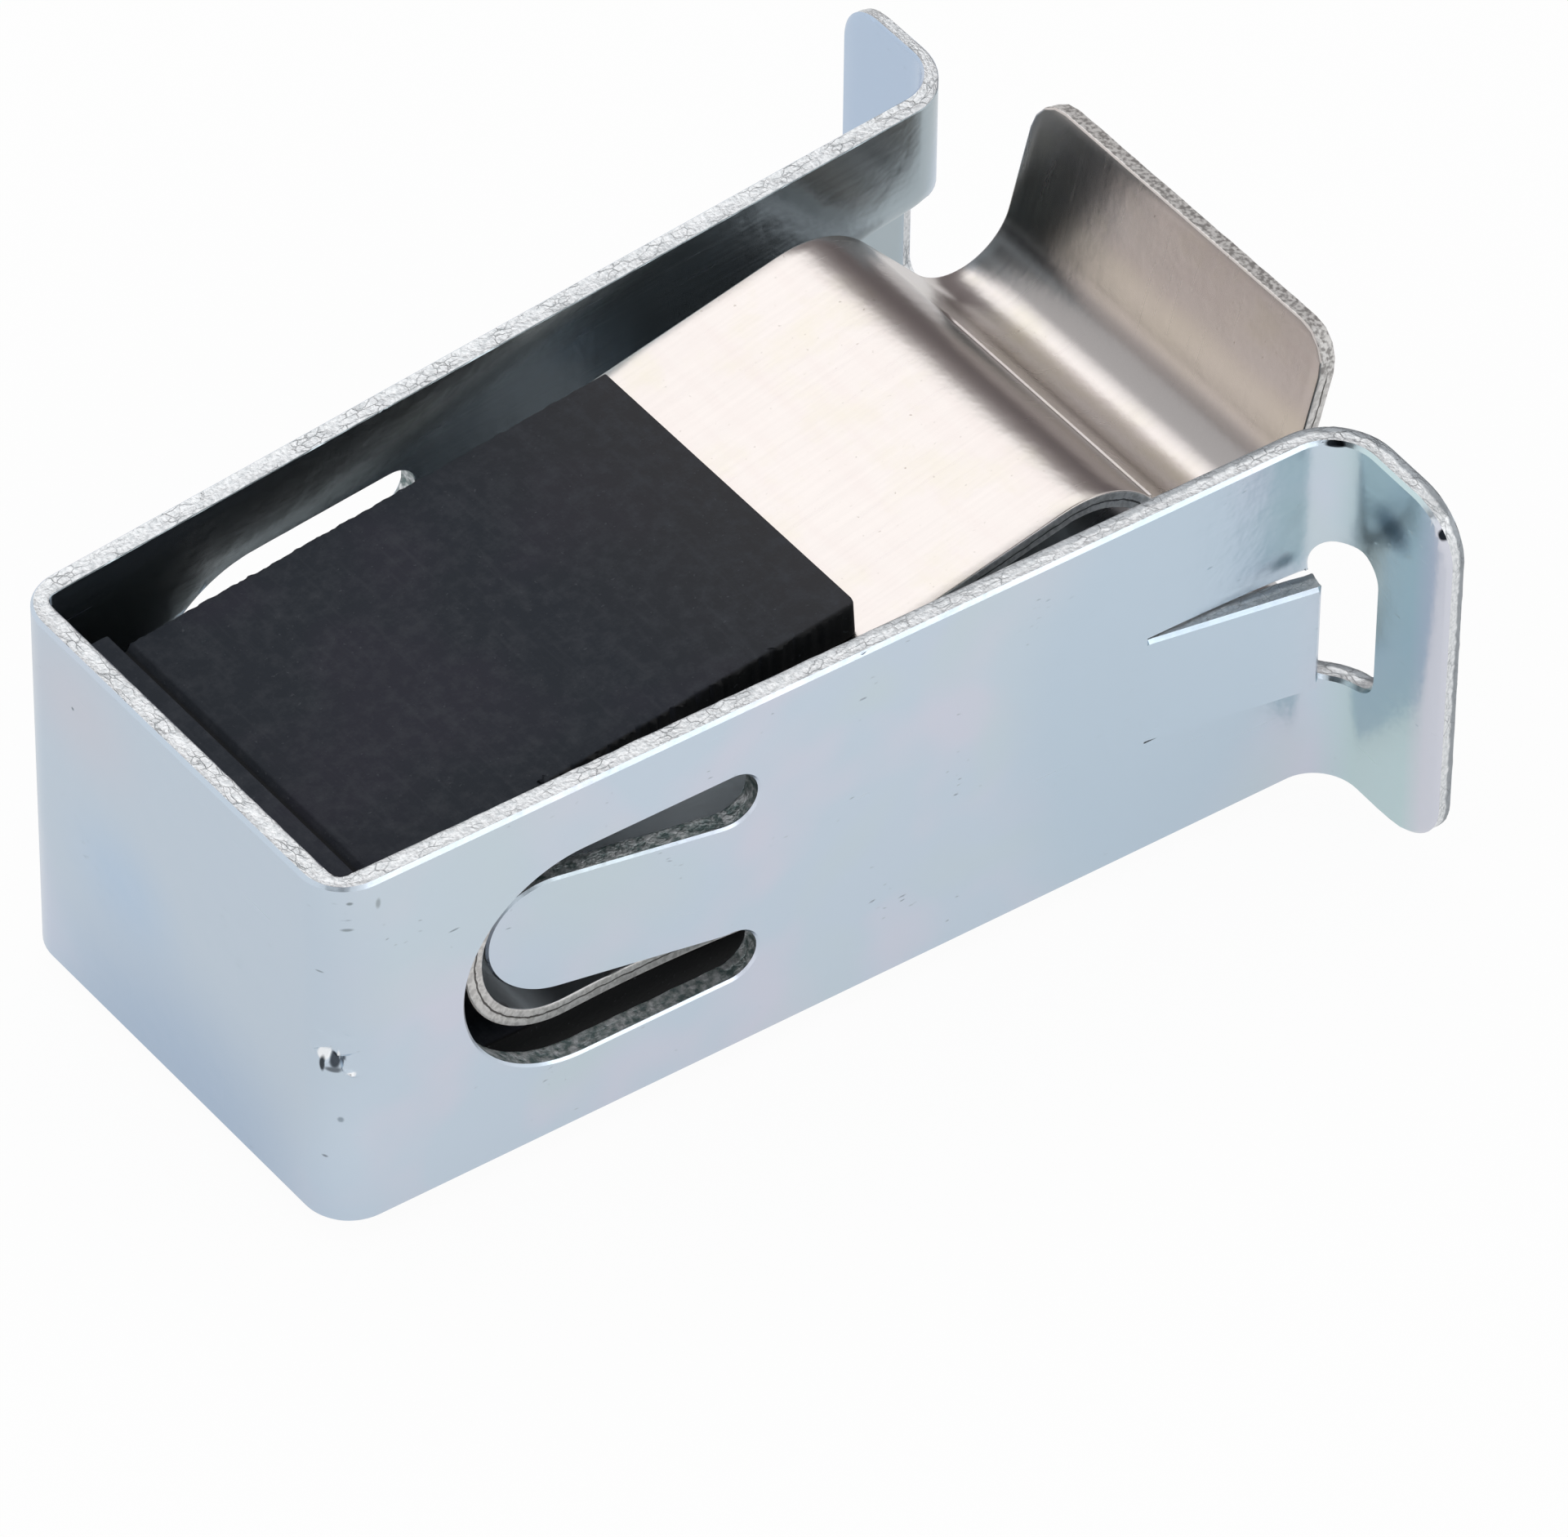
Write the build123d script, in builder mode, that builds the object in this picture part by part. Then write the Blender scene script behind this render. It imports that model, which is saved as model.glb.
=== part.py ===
from build123d import *
import os
from math import cos, radians, sin, tan

# Dryer door catch: a folded sheet housing that snaps into a panel cut-out, a hairpin
# leaf spring whose two jaws take the door's striker, and a rubber channel behind it.
# Millimetres. The origin is the middle of the panel cut-out, on the back faces of the
# flanges. +X points out of the mouth, +Y runs from flange to flange, and the jaws open
# along Z. Distances named start, end, root or reach are measured from the closed end.

# Housing strip: body_depth runs to the back faces of the flanges, and flange_reach
# from the line of the leg's outer face to the flange's tip
strip_width = 15.9
sheet = 0.85
body_depth = 41.25
closed_width = 18.4
leg_splay = 2.85
end_bend_radius = 1.85
flange_reach = 5.75
flange_bend_radius = 1.75
flange_corner_radius = 2.2

# C-shaped slot in each leg, and the tongue that it leaves. The tongue's tip stands
# inside the hairpin's loop, tongue_gap clear of the leaf before it is bent in
slot_length = 11.9
slot_radius = 4.8
slot_arm = 2.2
slot_tip_gap = 1.8
slot_rise = 0.12
tongue_gap = 0.2
tongue_angle = 11.3

# Panel tab lanced out of each leg, whose end grips the panel against the flange, and
# the window through the flange bend in front of it
panel_grip = 1.25
tab_length = 6.7
tab_height = 4.9
tab_drop = 0.3
tab_angle = 10.0
lance_gap = 0.08
window_height = 6.4
window_reach = 2.15
window_corner_radius = 1.0

# Bend radius of the tongues and tabs, on their hollow side
lance_bend_radius = 1.5

# Hairpin leaf with its two jaws
leaf = 0.7
leaf_side_gap = 0.25
leaf_side_shift = -0.15
loop_start = 6.2
loop_radius = 4.2
branch_radius = 50.0
branch_angle = 10.2
crest_reach = 33.8
crest_radius = 4.05
fall_angle = 49.5
jaw_gap = 3.0
valley_radius = 2.35
lip_angle = 75.3
lip_height = 6.55
lip_chamfer = 1.5

# Rubber channel around the closed end of the hairpin. Its arms open towards the mouth
# and rest on the leaf by their ends
rubber = 1.45
rubber_side_gap = 1.2
rubber_side_shift = -0.45
rubber_end = 23.3
rubber_splay = 3.9
web = 1.6
web_stand = 1.05
slip = 0.05
end_gap = 0.12

back_x = -body_depth
leg_lean = radians(leg_splay)
flange_root_y = closed_width / 2 + body_depth * tan(leg_lean)
inner_width = closed_width - 2 * sheet
leaf_width = inner_width - 2 * leaf_side_gap
rubber_width = inner_width - 2 * rubber_side_gap
tab_end = body_depth - panel_grip
tab_root = tab_end - tab_length
tongue_tip = loop_start + leaf + tongue_gap
slot_start = tongue_tip - slot_tip_gap
slot_end = slot_start + slot_length
slot_center = slot_start + slot_radius
arm_center = slot_end - slot_arm / 2
arm_middle = slot_radius - slot_arm / 2
tongue_radius = slot_radius - slot_arm
tongue_center = tongue_tip + tongue_radius

os.makedirs("parts", exist_ok=True)


def leg_plane(distance, drop=0.0):
    """A plane on the far leg's outer face, with x along the leg and z into the housing."""
    start = (
        back_x + distance * cos(leg_lean),
        closed_width / 2 + distance * sin(leg_lean),
        -drop,
    )
    return Plane(
        origin=start,
        x_dir=(cos(leg_lean), sin(leg_lean), 0),
        z_dir=(sin(leg_lean), -cos(leg_lean), 0),
    )


def lanced_strip(root, length, height, drop, towards_end, angle):
    """A strip of the leg, bent at its root by the angle, inwards where it is positive."""
    plane = leg_plane(root)
    run = plane.x_dir if towards_end else -plane.x_dir
    turn = -angle if towards_end else angle
    inner_side = Side.RIGHT if towards_end else Side.LEFT
    radius = lance_bend_radius + sheet if angle > 0 else lance_bend_radius
    with BuildPart() as strip:
        with BuildSketch(Plane.XY.offset(-drop - height / 2)):
            with BuildLine():
                held = Line(plane.origin - run * sheet, plane.origin)
                bend = JernArc(held @ 1, held % 1, radius, turn)
                Line(bend @ 1, (bend @ 1) + (bend % 1) * (length - radius * radians(abs(angle))))
                offset(amount=sheet, side=inner_side)
            make_face()
        extrude(amount=height)
    return strip.part


# Tongue: the rounded flap inside the C slot, bent inwards into the hairpin's loop
with BuildPart() as tongue:
    add(
        lanced_strip(
            root=arm_center,
            length=arm_center - tongue_tip,
            height=2 * tongue_radius,
            drop=-slot_rise,
            towards_end=False,
            angle=tongue_angle,
        )
    )
    with BuildSketch(leg_plane(tongue_center, -slot_rise)):
        Circle(tongue_radius)
        with Locations((arm_center - tongue_center, 0)):
            Rectangle(2 * (arm_center - tongue_center), 2 * tongue_radius)
    extrude(amount=closed_width / 2, both=True, mode=Mode.INTERSECT)

# Panel tab: the square flap bent outwards, whose end faces the back of the flange
tab = lanced_strip(
    root=tab_root,
    length=tab_end - tab_root,
    height=tab_height - 2 * lance_gap,
    drop=tab_drop,
    towards_end=True,
    angle=-tab_angle,
)

# Window: the rounded cutter that opens the flange bend in front of the tab
with BuildPart() as window:
    window_start = leg_plane(tab_end).origin.X
    with BuildSketch(Plane.XY.offset(-window_height / 2)):
        with BuildLine():
            Polyline(
                (window_start, closed_width / 2 - sheet),
                (2 * sheet, closed_width / 2 - sheet),
                (2 * sheet, flange_root_y + window_reach),
                (window_start, flange_root_y + window_reach),
                close=True,
            )
        make_face()
    extrude(amount=window_height)
    leg_side = window.edges().filter_by(Axis.Y).group_by(Axis.X)[0]
    flange_side = window.edges().filter_by(Axis.X).group_by(Axis.Y)[-1]
    fillet(leg_side + flange_side, window_corner_radius)

# Housing: one folded strip, made as its far half and mirrored
with BuildPart() as housing:
    with BuildSketch(Plane.XY.offset(-strip_width / 2)):
        with BuildLine():
            FilletPolyline(
                (back_x, 0),
                (back_x, closed_width / 2),
                (0, flange_root_y),
                (0, flange_root_y + flange_reach),
                radius=(end_bend_radius, flange_bend_radius),
            )
            offset(amount=sheet, side=Side.RIGHT)
        make_face()
    extrude(amount=strip_width)
    flange_tips = housing.edges().filter_by(Axis.X).group_by(Axis.Y)[-1]
    fillet(flange_tips, flange_corner_radius)

    with BuildSketch(leg_plane(slot_center, -slot_rise)):
        Circle(slot_radius)
        with Locations(((arm_center - slot_center) / 2, 0)):
            Rectangle(arm_center - slot_center, 2 * slot_radius)
        with Locations((arm_center - slot_center, arm_middle)):
            Circle(slot_arm / 2)
        with Locations((arm_center - slot_center, -arm_middle)):
            Circle(slot_arm / 2)
    extrude(amount=2 * sheet, both=True, mode=Mode.SUBTRACT)
    add(tongue.part)

    with BuildSketch(leg_plane((tab_root + tab_end) / 2, tab_drop)):
        Rectangle(tab_end - tab_root, tab_height)
    extrude(amount=2 * sheet, both=True, mode=Mode.SUBTRACT)
    add(window.part, mode=Mode.SUBTRACT)
    add(tab)
    mirror(about=Plane.XZ)
housing.part.label = "housing"
export_step(housing.part, "parts/housing.step")

# Jaw spring: one leaf folded into a hairpin, drawn as its upper half and mirrored
with BuildPart() as jaw_spring:
    with BuildSketch(Plane.XZ.offset(-leaf_side_shift)):
        with BuildLine():
            loop = JernArc((back_x + loop_start, 0), (0, 1), loop_radius, -90)
            branch = JernArc(loop @ 1, loop % 1, branch_radius, branch_angle)
            branch_end = branch @ 1
            crest_x = back_x + crest_reach
            crest_z = branch_end.Y + (crest_x - branch_end.X) * tan(radians(branch_angle))
            throat_z = jaw_gap / 2 + leaf
            half_corner = radians(180 - fall_angle - lip_angle) / 2
            corner_lean = radians(fall_angle - lip_angle) / 2
            corner_drop = valley_radius * (cos(corner_lean) / sin(half_corner) - 1)
            valley_z = throat_z - corner_drop
            valley_x = crest_x + (crest_z - valley_z) / tan(radians(fall_angle))
            tip_z = throat_z + lip_height
            tip_x = valley_x + (tip_z - valley_z) / tan(radians(lip_angle))
            FilletPolyline(
                branch_end,
                (crest_x, crest_z),
                (valley_x, valley_z),
                (tip_x, tip_z),
                radius=(crest_radius, valley_radius),
            )
            offset(amount=leaf, side=Side.RIGHT)
        make_face()
        mirror(about=Plane.XZ)
    extrude(amount=leaf_width / 2, both=True)
    with BuildSketch(Plane.YZ) as lip_outline:
        with Locations((leaf_side_shift, 0)):
            Rectangle(leaf_width, 2 * tip_z)
        chamfer(lip_outline.vertices(), lip_chamfer)
    extrude(amount=2 * body_depth, both=True, mode=Mode.INTERSECT)
jaw_spring.part.label = "jaw_spring"
export_step(jaw_spring.part, "parts/jaw_spring.step")

# Rubber block: a channel with a taller web that backs the hairpin against the end wall
with BuildPart() as rubber_block:
    with BuildSketch(Plane.XZ.offset(-rubber_side_shift)):
        web_x = back_x + sheet + end_gap
        arm_x = back_x + rubber_end
        splay = radians(rubber_splay)
        bent_reach = min(arm_x, branch_end.X) - (loop @ 1).X
        bent_rise = branch_radius - (branch_radius**2 - bent_reach**2) ** 0.5
        straight_rise = max(arm_x - branch_end.X, 0) * tan(radians(branch_angle))
        rest_z = (loop @ 1).Y + bent_rise + straight_rise + slip / cos(radians(branch_angle))
        seat_z = rest_z - (arm_x - web_x) * tan(splay)
        with BuildLine():
            Polyline(
                (web_x, seat_z),
                (arm_x, rest_z),
                (arm_x - rubber * sin(splay), rest_z + rubber * cos(splay)),
                (web_x, seat_z + rubber / cos(splay)),
                close=True,
            )
        make_face()
        mirror(about=Plane.XZ)
        with Locations((web_x + web / 2, 0)):
            Rectangle(web, 2 * (seat_z + rubber + web_stand))
    extrude(amount=rubber_width / 2, both=True)
rubber_block.part.label = "rubber_block"
export_step(rubber_block.part, "parts/rubber_block.step")
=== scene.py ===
from math import atan2, cos, hypot, pi, radians, sin, tan

import bmesh
import bpy
from mathutils import Matrix, Vector


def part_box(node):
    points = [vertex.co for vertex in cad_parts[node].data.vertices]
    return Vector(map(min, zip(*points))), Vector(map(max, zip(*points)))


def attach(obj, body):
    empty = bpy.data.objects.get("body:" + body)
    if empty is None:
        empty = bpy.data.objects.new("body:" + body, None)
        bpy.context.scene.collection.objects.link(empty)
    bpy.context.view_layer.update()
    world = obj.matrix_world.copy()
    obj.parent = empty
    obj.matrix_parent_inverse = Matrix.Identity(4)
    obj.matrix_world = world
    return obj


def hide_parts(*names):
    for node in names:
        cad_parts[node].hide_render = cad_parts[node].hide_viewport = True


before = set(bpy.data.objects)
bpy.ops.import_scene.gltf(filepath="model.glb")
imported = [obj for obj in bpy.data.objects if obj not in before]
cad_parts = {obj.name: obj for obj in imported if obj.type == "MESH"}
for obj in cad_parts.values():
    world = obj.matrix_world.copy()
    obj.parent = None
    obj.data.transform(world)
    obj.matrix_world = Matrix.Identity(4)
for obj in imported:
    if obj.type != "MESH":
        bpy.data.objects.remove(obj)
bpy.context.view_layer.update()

# Dryer door catch: a zinc-plated strip folded into a housing, a hairpin leaf spring
# whose jaws take the door's striker, and a rubber channel behind the hairpin. The two
# sheet parts are made as flat blanks in millimetres, pierced, bevelled and cut into a
# grid, and then folded along the same lines as the part's source. In a blank, x runs
# along the strip from the middle of the closed end, y across it, and z is the depth
# from the outer face. The near leg and the lower jaw are at negative x. Where the two
# legs differ, a value is given for side -1, the near one, and for side 1, the far one.
MM = 0.001

# Places closer than this, in millimetres, count as the same
CLOSE = 0.01

# Housing, as in the part's source
STRIP_WIDTH = 15.9
SHEET = 0.85
BODY_DEPTH = 41.25
CLOSED_WIDTH = 18.4
LEG_LEAN = radians(2.85)
END_BEND_RADIUS = 1.85
FLANGE_REACH = 5.75
FLANGE_BEND_RADIUS = 1.75
FLANGE_CORNER_RADIUS = 2.2
SLOT_CENTER = 10.1
SLOT_RADIUS = 4.8
ARM_CENTER = 16.1
ARM_MIDDLE = 3.7
ARM_RADIUS = 1.1
TONGUE_TIP = 7.1
TONGUE_RADIUS = 2.6
TONGUE_ANGLE = radians(11.3)
TAB_ROOT = 33.3
TAB_END = 40.0
TAB_HEIGHT = 4.9
TAB_ANGLE = radians(10.0)
LANCE_GAP = 0.08
LANCE_RADIUS = 1.5
WINDOW_HEIGHT = 6.4
WINDOW_REACH = 2.15
WINDOW_CORNER_RADIUS = 1.0

# The far slot was punched a little lower, and a little nearer to the closed end, and the
# far tab was lanced higher than the near one
SLOT_RISE = {-1: 0.12, 1: -0.1}
SLOT_BACK = {-1: 0.0, 1: 0.35}
TAB_DROP = {-1: 0.3, 1: -0.75}

# Both slots lie within these distances of the blank's middle, along and across it, and
# the strip's own outline lies outside them
SLOTS_ALONG = 28
SLOTS_ACROSS = 6.2

# Hairpin leaf, as in the part's source. THROAT is half the jaws' gap plus the leaf
LEAF = 0.7
LEAF_WIDTH = 16.2
LEAF_SHIFT = -0.15
LOOP_START = 6.2
LOOP_RADIUS = 4.2
BRANCH_RADIUS = 50.0
BRANCH_ANGLE = radians(10.2)
CREST_REACH = 33.8
CREST_RADIUS = 4.05
FALL_ANGLE = radians(49.5)
THROAT = 2.2
VALLEY_RADIUS = 2.35
LIP_ANGLE = radians(75.3)
LIP_HEIGHT = 6.55
LIP_CHAMFER = 1.5

# Distance along the leaf, from the middle of the loop, at which its cropped tips start
LEAF_TIP_FROM = 44.2

# Rubber channel, as in the part's source: the gap behind its web, and the web itself
END_GAP = 0.12
WEB = 1.6
RUBBER_SPLAY = radians(3.9)

# Middle of the shallow groove beside the web, on the catch's own x axis
GROOVE_MIDDLE = -38.44

# The catch stands on the tip of its lower jaw
FLOOR = -(THROAT + LIP_HEIGHT) * MM


# ---------------------------------------------------------------- bench tools

# Axes for slice_at
ALONG, ACROSS, THROUGH = 0, 1, 2

# On a cut wall, the depth at which the smooth part ends, and the size of the tears past it
TORN_FROM = 0.2
TEAR_SIZE = 0.45


def only(piece):
    """Leaves just this piece selected and active."""
    bpy.ops.object.select_all(action="DESELECT")
    piece.select_set(True)
    bpy.context.view_layer.objects.active = piece


def block(name, low, high):
    """A box from its lowest to its highest corner."""
    bpy.ops.object.select_all(action="DESELECT")
    low, high = Vector(low), Vector(high)
    bpy.ops.mesh.primitive_cube_add(size=1, location=(low + high) / 2, scale=high - low)
    piece = bpy.context.active_object
    bpy.ops.object.transform_apply(location=True, rotation=False, scale=True)
    piece.name = piece.data.name = name
    return piece


def block_on(side, name, start, end, low, high, spare=1):
    """A block that stands through one leg's half of the blank."""
    ends = sorted((side * start, side * end))
    return block(name, (ends[0], low, -spare), (ends[1], high, 1 + spare))


def punch_on(side, name, along, across, radius, spare=1, sides=96):
    """A round punch that stands through one leg's half of the blank."""
    bpy.ops.object.select_all(action="DESELECT")
    bpy.ops.mesh.primitive_cylinder_add(
        vertices=sides, radius=radius, depth=1 + 2 * spare, location=(side * along, across, 0.5)
    )
    piece = bpy.context.active_object
    bpy.ops.object.transform_apply(location=True, rotation=False, scale=False)
    piece.name = piece.data.name = name
    return piece


def join_cut(piece, cutter, how="DIFFERENCE"):
    """Cuts the cutter out of the piece, or adds it, and throws the cutter away."""
    only(piece)
    step = piece.modifiers.new("cut", "BOOLEAN")
    step.operation = how
    step.object = cutter
    step.solver = "EXACT"
    bpy.ops.object.modifier_apply(modifier=step.name)
    bpy.data.objects.remove(cutter)


def open_edit(piece, kind="EDGE"):
    """Edit mode with nothing selected."""
    only(piece)
    bpy.ops.object.mode_set(mode="EDIT")
    bpy.ops.mesh.select_mode(type=kind)
    bpy.ops.mesh.select_all(action="DESELECT")


def bevel_where(piece, test, width, segments, clamp=True):
    """Bevels the edges that pass the test, which gets an edge's two ends and the edge."""
    open_edit(piece)
    shape = bmesh.from_edit_mesh(piece.data)
    for edge in shape.edges:
        edge.select_set(test(edge.verts[0].co, edge.verts[1].co, edge))
    bmesh.update_edit_mesh(piece.data)
    bpy.ops.mesh.bevel(offset=width, segments=segments, affect="EDGES", clamp_overlap=clamp)
    bpy.ops.object.mode_set(mode="OBJECT")


def upright(a, b, edge):
    """Tells whether an edge runs straight through the sheet."""
    return abs(a.x - b.x) < CLOSE and abs(a.y - b.y) < CLOSE


def slice_at(piece, places, axis):
    """Cuts the mesh across by planes square to one axis."""
    normal = [0.0, 0.0, 0.0]
    normal[axis] = 1.0
    open_edit(piece)
    for place in places:
        point = [0.0, 0.0, 0.0]
        point[axis] = place
        bpy.ops.mesh.select_all(action="SELECT")
        bpy.ops.mesh.bisect(plane_co=point, plane_no=normal)
    bpy.ops.object.mode_set(mode="OBJECT")


def spread(start, end, step):
    """Places from start to end, both included, about a step apart."""
    count = max(1, round((end - start) / step))
    return [start + (end - start) * i / count for i in range(count + 1)]


def mirrored(places):
    """The places and their mirror images, each once."""
    return sorted({round(sign * place, 4) for place in places for sign in (-1, 1)})


def follow(start, heading, runs):
    """Gives place and heading at a distance along straight runs and arcs."""

    def at(distance):
        x, y = start
        turned = heading
        for length, turn in runs:
            step = min(distance, length)
            if turn == 0:
                x += step * cos(turned)
                y += step * sin(turned)
            else:
                radius = length / turn
                angle = step / radius
                x += radius * (sin(turned + angle) - sin(turned))
                y -= radius * (cos(turned + angle) - cos(turned))
                turned += angle
            distance -= step
            if distance <= 0:
                break
        return x, y, turned

    return at


def dress_cut(blank, face_finish, cut_finish, raggedness):
    """Gives faces and cut walls their materials, and leaves the inner part of the cut a
    little ragged."""
    blank.data.materials.append(face_finish)
    blank.data.materials.append(cut_finish)
    cut_points = set()
    for face in blank.data.polygons:
        face.material_index = 1 if abs(face.normal.z) < 0.5 else 0
        if face.material_index == 1:
            cut_points.update(face.vertices)
    torn_wall = blank.vertex_groups.new(name="torn_wall")
    torn_points = [index for index in cut_points if blank.data.vertices[index].co.z > TORN_FROM]
    torn_wall.add(torn_points, 1.0, "REPLACE")
    ragged = bpy.data.textures.new("ragged", "CLOUDS")
    ragged.noise_scale = TEAR_SIZE
    ragged.noise_depth = 3
    shear = blank.modifiers.new("ragged", "DISPLACE")
    shear.texture = ragged
    shear.texture_coords = "LOCAL"
    shear.mid_level = 0.75
    shear.strength = raggedness
    shear.vertex_group = torn_wall.name
    only(blank)
    bpy.ops.object.modifier_apply(modifier=shear.name)


def fold(piece, bend):
    """Moves each point of the flat blank to its folded place, in metres, and keeps its
    flat place in the attribute that the materials read."""
    mesh = piece.data
    flat = mesh.attributes.new("flat", "FLOAT_VECTOR", "POINT")
    for point in mesh.vertices:
        flat.data[point.index].vector = point.co * MM
        point.co = Vector(bend(*point.co)) * MM
    mesh.update()


def finish_piece(piece, name, nodes):
    """Names the piece, smooths it, puts it on the root body and hides the CAD parts that it stands
    for.
    """
    piece.name = piece.data.name = name
    only(piece)
    bpy.ops.object.shade_smooth_by_angle(angle=radians(35))
    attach(piece, "root")
    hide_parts(*nodes)


# ---------------------------------------------------------------- materials


def srgb(code):
    """A hex colour as the linear values that Blender works in."""
    parts = [int(code[i : i + 2], 16) / 255 for i in (0, 2, 4)]
    line = [c / 12.92 if c <= 0.04045 else ((c + 0.055) / 1.055) ** 2.4 for c in parts]
    return (*line, 1.0)


def node(tree, kind, inputs=None, **settings):
    """Adds a node with its values, links and settings. A node that is given as an input
    stands for its first output that is switched on."""
    made = tree.nodes.new(kind)
    for key, value in settings.items():
        setattr(made, key, value)
    for key, value in (inputs or {}).items():
        if isinstance(value, bpy.types.Node):
            value = next(socket for socket in value.outputs if socket.enabled)
        if isinstance(value, bpy.types.NodeSocket):
            tree.links.new(value, made.inputs[key])
        else:
            made.inputs[key].default_value = value
    return made


def new_material(name):
    """A material with an empty node tree, and that tree."""
    made = bpy.data.materials.new(name)
    made.use_nodes = True
    made.node_tree.nodes.clear()
    return made, made.node_tree


# Sockets of a colour mix, by number, because its other types have the same names
FACTOR, A, B = 0, 6, 7

# Bright zinc plate on rolled steel strip: a satin metal, so it gives back the white
# room softly, a little blue, with faint lilac and green tints where the film of the
# passivation is thicker, a gently uneven face, and small nicks and dashes from the die.
zinc, tree = new_material("bright_zinc_plate")
flat = node(tree, "ShaderNodeAttribute", attribute_name="flat").outputs["Vector"]
patches = node(tree, "ShaderNodeTexNoise", {
    "Vector": flat, "Scale": 1 / (5.5 * MM), "Detail": 2.0, "Roughness": 0.45})
lilac = node(tree, "ShaderNodeMapRange", {"Value": patches, "From Min": 0.46, "From Max": 0.64})
tints = node(tree, "ShaderNodeTexNoise", {
    "Vector": flat, "Scale": 1 / (8.0 * MM), "Detail": 1.0, "Distortion": 0.6})
green = node(tree, "ShaderNodeMapRange", {"Value": tints, "From Min": 0.52, "From Max": 0.68})
first = node(tree, "ShaderNodeMix", {
    FACTOR: lilac, A: srgb("CAD7E4"), B: srgb("D3D7E4")}, data_type="RGBA")
second = node(tree, "ShaderNodeMix", {
    FACTOR: green, A: first, B: srgb("CBD8E0")}, data_type="RGBA")
dashed = node(tree, "ShaderNodeMapping", {
    "Vector": flat, "Scale": (1 / (0.45 * MM), 1 / (0.16 * MM), 1 / (0.5 * MM))})
dashes = node(tree, "ShaderNodeTexNoise", {"Vector": dashed, "Scale": 1.0, "Detail": 1.0})
clusters = node(tree, "ShaderNodeTexNoise", {
    "Vector": flat, "Scale": 1 / (3.6 * MM), "Detail": 1.0})
clustered = node(tree, "ShaderNodeMath", {
    0: clusters, 1: 0.55, 2: dashes}, operation="MULTIPLY_ADD")
apart = node(tree, "ShaderNodeSeparateXYZ", {"Vector": flat})
inside = node(tree, "ShaderNodeMapRange", {
    "Value": apart.outputs["Z"], "From Min": 0.70 * MM, "From Max": 0.82 * MM})
outside = node(tree, "ShaderNodeMath", {0: clustered, 1: inside}, operation="SUBTRACT")
nick = node(tree, "ShaderNodeMapRange", {
    "Value": outside, "From Min": 1.05, "From Max": 1.16})
third = node(tree, "ShaderNodeMix", {
    FACTOR: nick, A: second, B: srgb("A9B3BE")}, data_type="RGBA")

# The near flange came out greener, with a lilac tip, and the inner face is painted darker, as
# painted shade inside the housing
on_flange = node(tree, "ShaderNodeMapRange", {
    "Value": apart.outputs["X"], "From Min": -49.0 * MM, "From Max": -50.5 * MM,
    "To Min": 0.0, "To Max": 0.85})
greened = node(tree, "ShaderNodeMix", {
    FACTOR: on_flange, A: third, B: srgb("C5DBDD")}, data_type="RGBA")
on_tip = node(tree, "ShaderNodeMapRange", {
    "Value": apart.outputs["X"], "From Min": -53.2 * MM, "From Max": -54.2 * MM})
tipped = node(tree, "ShaderNodeMix", {
    FACTOR: on_tip, A: greened, B: srgb("D8DAE4")}, data_type="RGBA")
# Painted shade: the inner face of the housing is mixed to a darker grey
marks_and_painted_light = node(tree, "ShaderNodeMix", {
    FACTOR: inside, A: tipped, B: srgb("ABB7BD")}, data_type="RGBA")

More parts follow.
